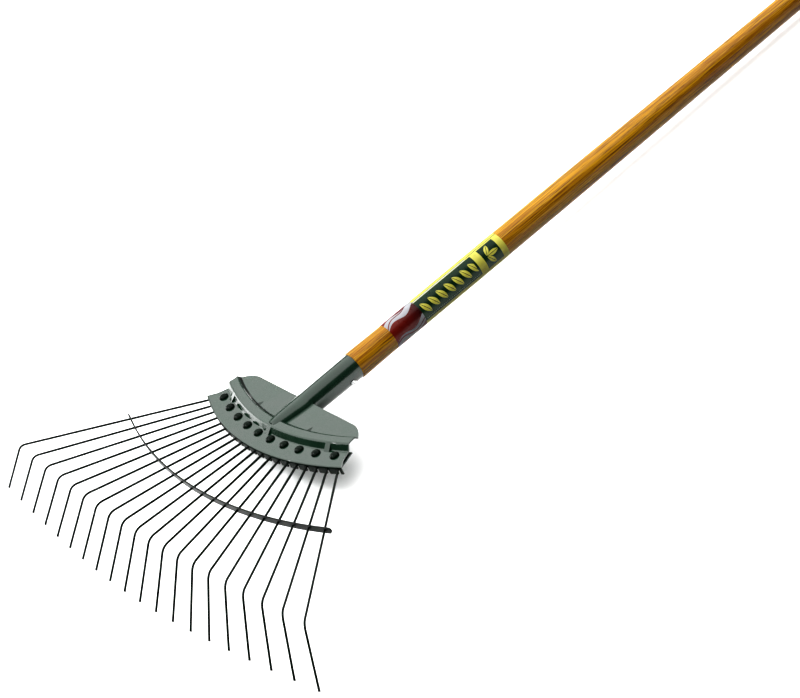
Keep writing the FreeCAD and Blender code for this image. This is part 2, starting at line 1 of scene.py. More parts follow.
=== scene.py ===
import math
import bpy
from mathutils import Matrix, Vector
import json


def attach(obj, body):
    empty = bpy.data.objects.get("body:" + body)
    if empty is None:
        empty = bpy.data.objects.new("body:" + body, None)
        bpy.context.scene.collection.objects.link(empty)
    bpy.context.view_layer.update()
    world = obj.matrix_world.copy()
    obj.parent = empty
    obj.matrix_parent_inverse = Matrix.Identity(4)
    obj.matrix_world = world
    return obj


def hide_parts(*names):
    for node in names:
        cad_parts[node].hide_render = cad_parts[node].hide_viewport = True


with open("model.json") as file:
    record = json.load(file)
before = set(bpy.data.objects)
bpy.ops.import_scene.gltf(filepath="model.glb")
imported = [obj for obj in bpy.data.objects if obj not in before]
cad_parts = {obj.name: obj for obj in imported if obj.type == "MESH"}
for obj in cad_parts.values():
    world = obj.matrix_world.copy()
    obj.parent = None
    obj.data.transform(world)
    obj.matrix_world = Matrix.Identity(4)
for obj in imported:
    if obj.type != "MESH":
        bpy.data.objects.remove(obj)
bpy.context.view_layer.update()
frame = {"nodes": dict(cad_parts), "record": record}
mm = 0.001

grip = frame["record"]["mounts"][0]  # the handle's plain round length
axisPoint = Vector(grip["pos_m"])
axisDirection = Vector(grip["axis"]).normalized()


def mouthOfSocket():
    # the farthest point of the socket along the handle's axis
    reach = [(v.co - axisPoint).dot(axisDirection) for v in frame["nodes"]["socket"].data.vertices]
    return axisPoint + axisDirection * max(reach)


# handle frame: Z along the handle from the socket's mouth, X to the rake's right, -Y up
handleY = axisDirection.cross(Vector((1, 0, 0)))
handleMatrix = Matrix.Translation(mouthOfSocket()) @ Matrix((
    (1, handleY.x, axisDirection.x),
    (0, handleY.y, axisDirection.y),
    (0, handleY.z, axisDirection.z))).to_4x4()

# head frame: the wires lie in its plane z = 0, and the arcs are about its origin
headFrame = {"tilt": -3.166, "place": (0, -0.25514, 0.02082)}
headMatrix = Matrix.Translation(Vector(headFrame["place"])) @ Matrix.Rotation(
    math.radians(headFrame["tilt"]), 4, "X")


def selectNone():
    if bpy.context.object and bpy.context.object.mode != "OBJECT":
        bpy.ops.object.mode_set(mode="OBJECT")
    bpy.ops.object.select_all(action="DESELECT")


def makeActive(obj):
    selectNone()
    obj.select_set(True)
    bpy.context.view_layer.objects.active = obj


def place(obj, matrix):
    # puts a piece modelled about its own origin where it belongs, with its place in its mesh
    makeActive(obj)
    obj.matrix_world = matrix @ obj.matrix_world
    bpy.ops.object.transform_apply(location=True, rotation=True, scale=True)


def smooth(obj, angle):
    makeActive(obj)
    bpy.ops.object.shade_smooth_by_angle(angle=math.radians(angle))


def applyAll(obj):
    makeActive(obj)
    for modifier in list(obj.modifiers):
        bpy.ops.object.modifier_apply(modifier=modifier.name)


def finishPiece(obj, name, material, slotName, *nodes):
    obj.name = name
    obj.data.name = name
    obj.data.materials.clear()
    obj.data.materials.append(material)
    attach(obj, "root")
    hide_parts(*nodes)
    return obj


def everything():
    bpy.ops.mesh.select_all(action="SELECT")


def mergedCopy(nodeName, angle):
    # a CAD piece's shape with its loose triangles joined, so that it can be shaded smooth
    obj = bpy.data.objects.new(nodeName + "_copy", frame["nodes"][nodeName].data.copy())
    bpy.context.scene.collection.objects.link(obj)
    makeActive(obj)
    bpy.ops.object.mode_set(mode="EDIT")
    everything()
    bpy.ops.mesh.remove_doubles(threshold=0.002 * mm)
    bpy.ops.mesh.customdata_custom_splitnormals_clear()
    bpy.ops.object.mode_set(mode="OBJECT")
    smooth(obj, angle)
    return obj


def pick(obj, kind, test):
    # selects only the points, edges or faces that pass the test, and stays in edit mode
    bpy.ops.object.mode_set(mode="OBJECT")
    mesh = obj.data
    for group in (mesh.vertices, mesh.edges, mesh.polygons):
        group.foreach_set("select", [False] * len(group))
    points = mesh.vertices
    if kind == "VERT":
        for vertex in points:
            vertex.select = bool(test(vertex.co))
    elif kind == "EDGE":
        for edge in mesh.edges:
            edge.select = all(test(points[index].co) for index in edge.vertices)
    else:
        for face in mesh.polygons:
            face.select = bool(test(face.center))
    bpy.ops.object.mode_set(mode="EDIT")
    bpy.ops.mesh.select_mode(type=kind)


def nearStation(station):
    return lambda point: abs(point.z - station) < 0.01 * mm


def addTube(name, sides, radius, start, end, capped=False):
    selectNone()
    bpy.ops.mesh.primitive_cylinder_add(
        vertices=sides, radius=radius, depth=end - start, location=(0, 0, (start + end) / 2),
        end_fill_type="NGON" if capped else "NOTHING")
    obj = bpy.context.object
    obj.name = name
    bpy.ops.object.transform_apply(location=True, rotation=True, scale=True)
    return obj


def extrude(value):
    bpy.ops.mesh.extrude_region_move(TRANSFORM_OT_translate={"value": value})


def newMaterial(name):
    material = bpy.data.materials.new(name)
    material.use_nodes = True
    return material, material.node_tree, material.node_tree.nodes["Principled BSDF"]


def setSockets(node, values):
    for socketName, value in values.items():
        node.inputs[socketName].default_value = value


def mapping(tree, vector, **settings):
    node = tree.nodes.new("ShaderNodeMapping")
    setSockets(node, settings)
    tree.links.new(vector, node.inputs["Vector"])
    return node.outputs["Vector"]


def objectPlace(tree):
    return tree.nodes.new("ShaderNodeTexCoord").outputs["Object"]


def noise(tree, vector, scale, detail=4, roughness=0.55, distortion=0):
    texture = tree.nodes.new("ShaderNodeTexNoise")
    setSockets(texture, {"Scale": scale, "Detail": detail, "Roughness": roughness,
                         "Distortion": distortion})
    tree.links.new(vector, texture.inputs["Vector"])
    return texture.outputs["Fac"]


def ramp(tree, fac, stops):
    # stops are (position, colour or grey)
    node = tree.nodes.new("ShaderNodeValToRGB")
    elements = node.color_ramp.elements
    for index, (position, colour) in enumerate(stops):
        element = elements[index] if index < 2 else elements.new(position)
        element.position = position
        rgb = colour if isinstance(colour, tuple) else (colour,) * 3
        element.color = (*rgb, 1)
    tree.links.new(fac, node.inputs["Fac"])
    return node.outputs["Color"]


def calc(tree, operation, *values):
    node = tree.nodes.new("ShaderNodeMath")
    node.operation = operation
    for index, value in enumerate(values):
        if isinstance(value, (int, float)):
            node.inputs[index].default_value = value
        else:
            tree.links.new(value, node.inputs[index])
    return node.outputs[0]


def between(tree, value, low, high):
    return calc(tree, "MULTIPLY", calc(tree, "GREATER_THAN", value, low),
                calc(tree, "LESS_THAN", value, high))


def mix(tree, fac, first, second, blend="MIX"):
    node = tree.nodes.new("ShaderNodeMix")
    node.data_type = "RGBA"
    node.blend_type = blend
    for value, index in ((fac, 0), (first, 6), (second, 7)):
        if isinstance(value, (int, float)):
            node.inputs[index].default_value = value
        elif isinstance(value, tuple):
            node.inputs[index].default_value = (*value, 1)
        else:
            tree.links.new(value, node.inputs[index])
    return node.outputs[2]


def bump(tree, shader, height, strength, distance):
    node = tree.nodes.new("ShaderNodeBump")
    setSockets(node, {"Strength": strength, "Distance": distance})
    tree.links.new(height, node.inputs["Height"])
    tree.links.new(node.outputs["Normal"], shader.inputs["Normal"])


def drive(tree, shader, socketName, output):
    tree.links.new(output, shader.inputs[socketName])


enamel = {
    "deep": (0.002, 0.024, 0.010),
    "main": (0.005, 0.034, 0.016),
    "light": (0.010, 0.046, 0.024),
    "roughness": 0.22,
    "shine": 0.55,
    "coat": 0.45,
    "cloudScale": 38,
    "speckScale": 900,
    "peelScale": 420,
    "peelHeight": 0.4 * mm,
}
# painted shade: the turned-down lip, which sits in shadow below the band, gets a darker, duller copy of the
# enamel
lipShadePaint = dict(enamel, deep=(0.0008, 0.005, 0.002), main=(0.0015, 0.008, 0.004),
                light=(0.003, 0.012, 0.007), roughness=0.5, shine=0.12, coat=0.0)
rivetPaint = dict(enamel, deep=(0.001, 0.006, 0.003), main=(0.002, 0.011, 0.005),
                  light=(0.005, 0.020, 0.011), roughness=0.14, shine=0.13, coat=0.0)

# painted shade: a dark line in the bead's inner corner, wider towards the rake's left
creaseShade = {
    "colour": (0.0008, 0.004, 0.002),
    "radius": 284.3 * mm,
    "halfWidth": 0.55 * mm,
    "widening": -0.008,
    "leastHalfWidth": 0.35 * mm,
    "top": 8.4 * mm,
}

wirePaint = {
    "deep": (0.001, 0.004, 0.002),
    "main": (0.005, 0.010, 0.007),
    "scuff": (0.020, 0.030, 0.025),
    "cloudScale": 60,
    "scuffScale": 350,
    "grainScale": 700,
    "shine": 0.14,
}

ash = {
    "dark": (0.44, 0.175, 0.002),
    "mid": (0.64, 0.330, 0.006),
    "pale": (0.80, 0.500, 0.025),
    "line": (0.27, 0.085, 0.002),
    "pore": (0.10, 0.026, 0.002),
    "alongGrain": 0.018,  # how much the pattern is drawn out along the handle
    "broadScale": 55,
    "ringScale": 320,
    "poreScale": 900,
    "coat": 0.35,
    "shine": 0.15,
}

zinc = {"spangleScale": 500, "dark": 0.62, "bright": 0.86}


def makeEnamel(name, look):
    # brushed-on gloss enamel: slight orange peel, cloudier where it has been handled
    material, tree, shader = newMaterial(name)
    where = objectPlace(tree)
    clouds = noise(tree, where, look["cloudScale"], detail=6, roughness=0.6)
    specks = noise(tree, where, look["speckScale"], detail=2)
    colour = ramp(tree, clouds, [(0.3, look["deep"]), (0.52, look["main"]), (0.75, look["light"])])
    specked = mix(tree, ramp(tree, specks, [(0.66, 0.0), (0.72, 0.25)]), colour, look["light"])
    drive(tree, shader, "Base Color", specked)
    rough = look["roughness"]
    drive(tree, shader, "Roughness", ramp(tree, clouds, [(0.3, rough - 0.04), (0.7, rough + 0.06)]))
    setSockets(shader, {"Coat Weight": look["coat"], "Coat Roughness": 0.08,
                        "Specular IOR Level": look["shine"]})
    peel = noise(tree, where, look["peelScale"], detail=2, roughness=0.4)
    bump(tree, shader, peel, 0.10, look["peelHeight"])
    return material


def makeHeadEnamel(name):
    # the same enamel, with painted shade: a dark line in the inner corner of the pressed bead
    material = makeEnamel(name, enamel)
    tree = material.node_tree
    shader = tree.nodes["Principled BSDF"]
    toHead = headMatrix.inverted()
    inHead = mapping(tree, objectPlace(tree), Location=toHead.translation, Rotation=toHead.to_euler())
    parts = tree.nodes.new("ShaderNodeSeparateXYZ")
    tree.links.new(inHead, parts.inputs["Vector"])
    x, y, z = parts.outputs
    radius = calc(tree, "SQRT", calc(tree, "ADD", calc(tree, "POWER", x, 2.0), calc(tree, "POWER", y, 2.0)))
    off = calc(tree, "ABSOLUTE", calc(tree, "SUBTRACT", radius, creaseShade["radius"]))
    width = calc(tree, "MULTIPLY_ADD", x, creaseShade["widening"], creaseShade["halfWidth"])
    width = calc(tree, "MAXIMUM", width, creaseShade["leastHalfWidth"])
    shadeLine = ramp(tree, calc(tree, "DIVIDE", off, width), [(0.75, 1.0), (1.0, 0.0)])
    mask = calc(tree, "MULTIPLY", shadeLine, calc(tree, "LESS_THAN", z, creaseShade["top"]))
    # the dark line is painted shade, mixed over the enamel's own colour
    unshaded = shader.inputs["Base Color"].links[0].from_socket
    drive(tree, shader, "Base Color", mix(tree, mask, unshaded, creaseShade["colour"]))
    gloss = shader.inputs["Roughness"].links[0].from_socket
    drive(tree, shader, "Roughness", calc(tree, "MAXIMUM", gloss, mask))
    return material


def makeWirePaint(name):
    material, tree, shader = newMaterial(name)
    where = objectPlace(tree)
    clouds = noise(tree, where, wirePaint["cloudScale"], detail=5)
    colour = ramp(tree, clouds, [(0.3, wirePaint["deep"]), (0.7, wirePaint["main"])])
    scuffs = ramp(tree, noise(tree, where, wirePaint["scuffScale"], detail=3), [(0.66, 0.0), (0.78, 0.7)])
    drive(tree, shader, "Base Color", mix(tree, scuffs, colour, wirePaint["scuff"]))
    drive(tree, shader, "Roughness", ramp(tree, clouds, [(0.3, 0.28), (0.7, 0.42)]))
    setSockets(shader, {"Specular IOR Level": wirePaint["shine"]})
    bump(tree, shader, noise(tree, where, wirePaint["grainScale"], detail=2), 0.15, 0.2 * mm)
    return material


def makeAsh(name):
    # varnished ash: broad bands of tone, growth lines and dark pores drawn out along the grain
    material, tree, shader = newMaterial(name)
    tilt = math.atan2(axisDirection.z, axisDirection.y)
    level = mapping(tree, objectPlace(tree), Rotation=(-tilt, 0, 0))
    along = mapping(tree, level, Scale=(1, ash["alongGrain"], 1))
    broad = noise(tree, along, ash["broadScale"], detail=3, roughness=0.5, distortion=0.4)
    rings = noise(tree, along, ash["ringScale"], roughness=0.62, distortion=0.5)
    fine = noise(tree, along, ash["poreScale"], roughness=0.7)
    base = ramp(tree, broad, [(0.25, ash["dark"]), (0.5, ash["mid"]), (0.78, ash["pale"])])
    lines = ramp(tree, rings, [(0.42, 0.0), (0.54, 0.8), (0.64, 0.1)])
    pores = ramp(tree, fine, [(0.53, 0.0), (0.62, 0.8)])
    drive(tree, shader, "Base Color", mix(tree, pores, mix(tree, lines, base, ash["line"]), ash["pore"]))
    drive(tree, shader, "Roughness", ramp(tree, rings, [(0.3, 0.34), (0.7, 0.46)]))
    setSockets(shader, {"Coat Weight": ash["coat"], "Coat Roughness": 0.2,
                        "Specular IOR Level": ash["shine"]})
    bump(tree, shader, calc(tree, "SUBTRACT", rings, pores), 0.18, 0.3 * mm)
    return material


def makeZinc(name):
    material, tree, shader = newMaterial(name)
    spangle = noise(tree, objectPlace(tree), zinc["spangleScale"], detail=3)
    drive(tree, shader, "Base Color", ramp(tree, spangle, [(0.3, zinc["dark"]), (0.7, zinc["bright"])]))
    drive(tree, shader, "Roughness", ramp(tree, spangle, [(0.3, 0.18), (0.7, 0.36)]))
    setSockets(shader, {"Metallic": 1.0})
    return material


greenEnamel = makeEnamel("greenEnamel", enamel)
headEnamel = makeHeadEnamel("headEnamel")
# painted shade: the lip's enamel is darkened and dulled to stand for its shadow
lipShadeEnamel = makeEnamel("lipShadeEnamel", lipShadePaint)
rivetEnamel = makeEnamel("rivetEnamel", rivetPaint)
darkWire = makeWirePaint("wirePaint")
bracePaint = makeWirePaint("bracePaint")
varnishedAsh = makeAsh("varnishedAsh")
brightZinc = makeZinc("brightZinc")
print("paints mixed")


handle = {
    "sides": 96,
    "tenon": 11.75 * mm,
    "tenonLength": 56 * mm,
    "shoulder": 14.37 * mm,
    "shoulderRound": 1.2 * mm,
    "grip": 12.0 * mm,
    "ballFrom": 1188 * mm,
    "ballRings": 9,
    # distance from the socket's mouth and radius, both in millimetres
    "turning": ((40, 13.8), (200, 13.8), (290, 13.62), (375, 13.2), (450, 12.78), (530, 12.35),
                (610, 12.06), (700, 12.0), (1188, 12.0)),
}


def makeHandle():
    ballFrom = handle["ballFrom"]
    obj = addTube("ash_handle", handle["sides"], handle["shoulder"], 0, ballFrom, capped=True)
    makeActive(obj)
    bpy.ops.object.mode_set(mode="EDIT")
    for station, radius in handle["turning"][:-1]:
        everything()
        bpy.ops.mesh.bisect(plane_co=(0, 0, station * mm), plane_no=(0, 0, 1), threshold=1e-7)
    for station, radius in handle["turning"]:
        pick(obj, "VERT", nearStation(station * mm))
        shrink = radius * mm / handle["shoulder"]
        bpy.ops.transform.resize(value=(shrink, shrink, 1), center_override=(0, 0, station * mm))
    # the grip's end is turned to half a ball
    pick(obj, "FACE", nearStation(ballFrom))
    before, height = 1.0, 0
    for ring in range(1, handle["ballRings"] + 1):
        angle = math.pi / 2 * ring / (handle["ballRings"] + 0.5)
        rise = handle["grip"] * math.sin(angle) - height
        height += rise
        extrude((0, 0, rise))
        shrink = math.cos(angle) / before
        before = math.cos(angle)
        bpy.ops.transform.resize(value=(shrink, shrink, 1))
    # the tenon goes down into the socket
    pick(obj, "FACE", nearStation(0))
    shrink = handle["tenon"] / handle["shoulder"]
    extrude((0, 0, 0))
    bpy.ops.transform.resize(value=(shrink, shrink, 1))
    extrude((0, 0, -handle["tenonLength"]))
    pick(obj, "EDGE", lambda point: nearStation(0)(point) and point.xy.length > handle["tenon"] + mm)
    bpy.ops.mesh.bevel(offset=handle["shoulderRound"], segments=4, profile=0.5)
    bpy.ops.object.mode_set(mode="OBJECT")
    place(obj, handleMatrix)
    smooth(obj, 40)
    finishPiece(obj, "ash_handle", varnishedAsh, "ash", "handle")


makeHandle()
print("handle turned")


# lengths in millimetres along and across the film, measured from its lower edge and its middle
label = {
    "sides": 180,
    "radius": 13.83,
    "film": 0.24,
    "start": 45.5,
    "length": 148.5,
    "wrap": 184,
    "facing": 43,  # degrees above the level, to the rake's right
    "greenFrom": 0.31,  # share of the wrap, from the edge behind the handle
    "greenTo": 0.848,
    "middle": 0.579,
    "nearLine": (0.050, 0.034),  # each fine line's two edges, as shares short of greenFrom
    "farLine": (0.150, 0.128),
    "paleLine": (0.034, 0.006),
    "paleStop": 6,  # the pale line ends this far before the band
    "inkScale": 160,
    "scuffScale": 300,
    "rippleScale": 240,
    "redEnd": 37.5,
    "bandStart": 112.5,
    "bandEnd": 121.0,
    "badgeEnd": 141.5,
    "yellow": (0.74, 0.70, 0.14),
    "green": (0.005, 0.034, 0.012),
    "red": (0.14, 0.007, 0.004),
    "redStart": (0.21, 0.012, 0.004),
    "redDeep": (0.05, 0.003, 0.004),
    "silver": (0.46, 0.46, 0.49),
    "dot": (0.5, 0.52, 0.42),
    "pale": (0.62, 0.66, 0.62),
}

leaves = {
    "start": 1.5,  # past the red panel
    "pitch": 10.6,
    "count": 6.7,  # the last one runs under the band
    "lean": 62,
    "half": 7.6,
    "width": 3.1,
    "rib": 0.28,
    "dotPitch": 2.2,
    "dots": (0.5, 1.6),
    "dotRow": (9.4, 10.3),
    "dotInk": 0.55,
    # badge: place along and across, lean, half length and half width of each leaf
    "badge": ((2.0, 0, 0, 6.8, 2.6), (-2.4, -5.2, -58, 6.2, 2.4), (-2.4, 5.2, 58, 6.2, 2.4)),
}

# the sweeps lie between two values of across + slope * along + a wave
sweeps = {
    "slope": 0.20,
    "waveTurn": 0.19,
    "waveHeight": 2.6,
    "upper": (-13.0, -4.6),
    "lower": (11.0, 19.5),
    "upperCut": (0.22, -7.2, -5.9),
    "lowerCut": (-0.12, 11.4, 12.8),
}


def leafMask(tree, along, across, lean, half, width):
    # a pointed leaf about the origin with a fine midrib, 1 inside and 0 outside
    cosine = math.cos(math.radians(lean))
    sine = math.sin(math.radians(lean))
    longWay = calc(tree, "ADD", calc(tree, "MULTIPLY", along, cosine), calc(tree, "MULTIPLY", across, sine))
    shortWay = calc(tree, "SUBTRACT", calc(tree, "MULTIPLY", across, cosine),
                    calc(tree, "MULTIPLY", along, sine))
    aside = calc(tree, "ABSOLUTE", shortWay)
    reach = calc(tree, "DIVIDE", longWay, half)
    edge = calc(tree, "MULTIPLY", calc(tree, "SUBTRACT", 1.0, calc(tree, "MULTIPLY", reach, reach)), width)
    inside = calc(tree, "GREATER_THAN", edge, aside)
    return calc(tree, "MULTIPLY", inside, calc(tree, "GREATER_THAN", aside, leaves["rib"]))


def printGreenPanel(tree, along, across):
    # a row of leaves with a dotted line below it
    row = calc(tree, "SUBTRACT", along, label["redEnd"] + leaves["start"])
    pitch = leaves["pitch"]
    cell = calc(tree, "SUBTRACT", calc(tree, "MODULO", row, pitch), pitch / 2)
    inRow = between(tree, row, 0, leaves["count"] * pitch)
    leaf = leafMask(tree, cell, across, leaves["lean"], leaves["half"], leaves["width"])
    colour = mix(tree, calc(tree, "MULTIPLY", inRow, leaf), label["green"], label["yellow"])
    inDot = between(tree, calc(tree, "MODULO", row, leaves["dotPitch"]), *leaves["dots"])
    dots = calc(tree, "MULTIPLY", inDot, between(tree, across, *leaves["dotRow"]))
    dotted = calc(tree, "MULTIPLY", calc(tree, "MULTIPLY", dots, inRow), leaves["dotInk"])
    return mix(tree, dotted, colour, label["dot"])


def printBadge(tree, along, across):
    # three leaves fanned from one stalk
    fromMiddle = calc(tree, "SUBTRACT", along, (label["bandEnd"] + label["badgeEnd"]) / 2)
    fan = 0.0
    for alongBy, acrossBy, lean, half, width in leaves["badge"]:
        leaf = leafMask(tree, calc(tree, "SUBTRACT", fromMiddle, alongBy),
                        calc(tree, "SUBTRACT", across, acrossBy), lean, half, width)
        fan = calc(tree, "MAXIMUM", fan, leaf)
    return mix(tree, fan, label["green"], label["yellow"])


def printRedPanel(tree, along, across):
    # deep red, lighter at the lower end, with two cut silver sweeps
    wave = calc(tree, "SINE", calc(tree, "MULTIPLY", along, sweeps["waveTurn"]))
    slope = calc(tree, "ADD", across, calc(tree, "MULTIPLY", along, sweeps["slope"]))
    lean = calc(tree, "ADD", slope, calc(tree, "MULTIPLY", wave, sweeps["waveHeight"]))
    silver = calc(tree, "MAXIMUM", between(tree, lean, *sweeps["upper"]),
                  between(tree, lean, *sweeps["lower"]))
    for turn, low, high in (sweeps["upperCut"], sweeps["lowerCut"]):
        cut = between(tree, calc(tree, "ADD", lean, calc(tree, "MULTIPLY", along, turn)), low, high)
        silver = calc(tree, "MULTIPLY", silver, calc(tree, "SUBTRACT", 1.0, cut))
    shade = ramp(tree, calc(tree, "DIVIDE", along, label["redEnd"]),
                 [(0.0, label["redStart"]), (0.65, label["red"]), (1.0, label["redDeep"])])
    return mix(tree, silver, shade, label["silver"])


def makeLabelFilm(name):
    material, tree, shader = newMaterial(name)
    uv = tree.nodes.new("ShaderNodeUVMap")
    uv.uv_map = "print"
    parts = tree.nodes.new("ShaderNodeSeparateXYZ")
    tree.links.new(uv.outputs["UV"], parts.inputs["Vector"])
    around = parts.outputs["X"]
    along = calc(tree, "MULTIPLY", parts.outputs["Y"], label["length"])
    girth = math.radians(label["wrap"]) * label["radius"]
    across = calc(tree, "MULTIPLY", calc(tree, "SUBTRACT", around, label["middle"]), girth)

    colour = mix(tree, calc(tree, "GREATER_THAN", along, label["bandEnd"]),
                 printGreenPanel(tree, along, across), printBadge(tree, along, across))

    # yellow bands across, and a yellow border on each side with fine lines in the upper one
    greenFrom = label["greenFrom"]
    bands = calc(tree, "MAXIMUM", between(tree, along, label["bandStart"], label["bandEnd"]),
                 calc(tree, "GREATER_THAN", along, label["badgeEnd"]))
    borders = calc(tree, "MAXIMUM", calc(tree, "LESS_THAN", around, greenFrom),
                   calc(tree, "GREATER_THAN", around, label["greenTo"]))
    colour = mix(tree, calc(tree, "MAXIMUM", bands, borders), colour, label["yellow"])
    near, far, pale = (between(tree, around, greenFrom - start, greenFrom - end)
                       for start, end in (label["nearLine"], label["farLine"], label["paleLine"]))
    colour = mix(tree, calc(tree, "MAXIMUM", near, far), colour, label["green"])
    beforeBand = calc(tree, "LESS_THAN", along, label["bandStart"] - label["paleStop"])
    colour = mix(tree, calc(tree, "MULTIPLY", pale, beforeBand), colour, label["pale"])
    colour = mix(tree, calc(tree, "LESS_THAN", along, label["redEnd"]), colour,
                 printRedPanel(tree, along, across))

    # ink is a little uneven, and the film slightly scuffed
    where = objectPlace(tree)
    ink = ramp(tree, noise(tree, where, label["inkScale"], detail=5), [(0.3, 0.86), (0.7, 1.0)])
    drive(tree, shader, "Base Color", mix(tree, 1.0, colour, ink, blend="MULTIPLY"))
    scuffs = noise(tree, where, label["scuffScale"], detail=3)
    drive(tree, shader, "Roughness", ramp(tree, scuffs, [(0.35, 0.26), (0.7, 0.38)]))
    setSockets(shader, {"Coat Weight": 0.05, "Coat Roughness": 0.15, "Specular IOR Level": 0.25})
    bump(tree, shader, noise(tree, where, label["rippleScale"], detail=2), 0.08, 0.3 * mm)
    return material


def makeLabel():
    start = label["start"] * mm
    end = (label["start"] + label["length"]) * mm
    obj = addTube("label", label["sides"], label["radius"] * mm, start, end)
    middle = math.radians(-label["facing"])  # -Y is up in the handle's frame
    halfWrap = math.radians(label["wrap"] / 2)

    def turnFromMiddle(point):
        # positive towards the lower, right-hand edge
        turn = math.atan2(point.y, point.x) - middle
        return (turn + math.pi) % (2 * math.pi) - math.pi

    pick(obj, "FACE", lambda point: abs(turnFromMiddle(point)) > halfWrap)
    bpy.ops.mesh.delete(type="FACE")
    bpy.ops.object.mode_set(mode="OBJECT")
    prints = obj.data.uv_layers.new(name="print")
    for loop in obj.data.loops:
        point = obj.data.vertices[loop.vertex_index].co
        prints.data[loop.index].uv = (0.5 + turnFromMiddle(point) / (2 * halfWrap),
                                      (point.z - start) / (end - start))
    film = obj.modifiers.new("film", "SOLIDIFY")
    film.thickness = label["film"] * mm
    film.offset = 1
    applyAll(obj)
    place(obj, handleMatrix)
    smooth(obj, 40)
    finishPiece(obj, "printed_label", makeLabelFilm("labelFilm"), "label_film", "label_sleeve")


makeLabel()
print("label wrapped")


# millimetres
socket = {
    "sides": 64,
    "mouth": (-191.6, 2.7),  # distance along the head's Y, and height
    "pitch": 2.1,  # degrees
    "mouthRadius": 13.5,
    "endRadius": 12.8,
    "length": 59.9,
    "wall": 1.5,
    "edge": 0.35,
    "endSlack": 1.2,  # the tilted end's points all lie this close to the plate's back edge
    "seat": 5.80,  # height of the wing that the tang lies on
    # how far each section lies past the plate's back edge, its half width, its height, and how
    # far its foot spreads over the wing
    "tang": ((2.5, 12.6, 7.25, 4.0), (6, 12.4, 7.15, 4.4), (11, 12.0, 7.0, 4.2), (16, 11.5, 6.9, 3.6),
             (21, 10.9, 6.65, 3.0), (26, 10.3, 6.4, 2.4), (30, 9.7, 6.15, 1.9), (34, 9.1, 5.9, 1.4),
             (38, 8.5, 5.4, 0.9), (41.5, 7.8, 4.6, 0.6)),
    "flankLean": 0.53,  # how far each flank leans in for each unit of its height
    "flankShare": 0.5,  # of the arch's points, from each edge
    "backCrown": 0.07,  # how far the flat back falls to its edges, as a share of the height
    "pressedFrom": 14,  # past the plate's back edge the arch is fully pressed from here on
    # under the wing the tube's end closes: distance past the back edge and share of its size
    "scoop": ((3, 0.86), (6, 0.62), (8.5, 0.35)),
    "scoopHeight": 4.2,
}


def pressTang(obj, backEdge, seat):
    # away from the tube the arch is pressed to a flat back with leaning flanks
    edgeHeight = 1 - socket["backCrown"]
    flankShare = socket["flankShare"]
    for past, width, height, spread in socket["tang"]:
        halfWidth, rise = width * mm, height * mm
        shoulder = halfWidth - socket["flankLean"] * rise
        strength = min(1, past / socket["pressedFrom"])
        for vertex in obj.data.vertices:
            if abs(vertex.co.y - backEdge + past * mm) > 0.01 * mm or vertex.co.z < seat - 0.01 * mm:
                continue
            turn = math.atan2((vertex.co.z - seat) / rise, abs(vertex.co.x) / halfWidth)
            share = turn / (math.pi / 2)
            if share < flankShare:
                part = share / flankShare
                side = halfWidth + (shoulder - halfWidth) * part + spread * mm * (1 - part) ** 3
                up = rise * edgeHeight * part
            else:
                part = (share - flankShare) / (1 - flankShare)
                side = shoulder * (1 - part)
                up = rise * (1 - socket["backCrown"] * (1 - part) ** 2)
            side = math.copysign(side, vertex.co.x)
            vertex.co.x += (side - vertex.co.x) * strength
            vertex.co.z += (seat + up - vertex.co.z) * strength


def makeSocket():
    reach = socket["length"] * mm
    obj = addTube("socket", socket["sides"], socket["mouthRadius"] * mm, -reach, 0)
    shrink = socket["endRadius"] / socket["mouthRadius"]
    pick(obj, "VERT", nearStation(-reach))
    bpy.ops.transform.resize(value=(shrink, shrink, 1), center_override=(0, 0, -reach))
    bpy.ops.object.mode_set(mode="OBJECT")
    # lay it down in the head's frame: mouth towards +Y, rising towards the handle
    lay = Matrix.Rotation(math.radians(socket["pitch"] - 90), 4, "X")
    y, z = socket["mouth"]
    place(obj, Matrix.Translation((0, y * mm, z * mm)) @ lay)
    backEdge = (y - socket["length"] * math.cos(math.radians(socket["pitch"]))) * mm
    seat = socket["seat"] * mm
    hair = 0.001 * mm

    # the seat's height is cut into the tube's end, and only what is above goes on as the tang
    bpy.ops.object.mode_set(mode="EDIT")
    everything()
    bpy.ops.mesh.bisect(plane_co=(0, 0, seat), plane_no=(0, 0, 1), threshold=1e-7)

    def atEnd(point):
        return abs(point.y - backEdge) < socket["endSlack"] * mm

    pick(obj, "EDGE", lambda point: atEnd(point) and point.z > seat - hair)
    arch = [v.co.copy() for v in obj.data.vertices if atEnd(v.co) and v.co.z > seat - hair]
    top = max(point.z for point in arch) - seat
    half = max(point.x for point in arch)
    before = 0
    for past, width, height, spread in socket["tang"]:
        extrude((0, (before - past) * mm, 0))
        bpy.ops.transform.resize(value=(width * mm / half, 1, height * mm / top),
                                 center_override=(0, backEdge, seat))
        before, half, top = past, width * mm, height * mm
    # below the wing the end closes upwards as a short scoop
    pick(obj, "EDGE", lambda point: atEnd(point) and point.z < seat + hair)
    before, scale = 0, 1
    for past, keep in socket["scoop"]:
        extrude((0, (before - past) * mm, 0))
        bpy.ops.transform.resize(value=(keep / scale, 1, keep / scale),
                                 center_override=(0, 0, socket["scoopHeight"] * mm))
        before, scale = past, keep
    bpy.ops.object.mode_set(mode="OBJECT")
    pressTang(obj, backEdge, seat)
    wall = obj.modifiers.new("wall", "SOLIDIFY")
    wall.thickness = socket["wall"] * mm
    wall.offset = -1
    edges = obj.modifiers.new("edges", "BEVEL")
    edges.width = socket["edge"] * mm
    edges.segments = 2
    edges.limit_method = "ANGLE"
    edges.angle_limit = math.radians(50)
    applyAll(obj)
    place(obj, headMatrix)
    smooth(obj, 35)
    finishPiece(obj, "socket_shell", greenEnamel, "green_enamel", "socket")


makeSocket()
print("socket formed")


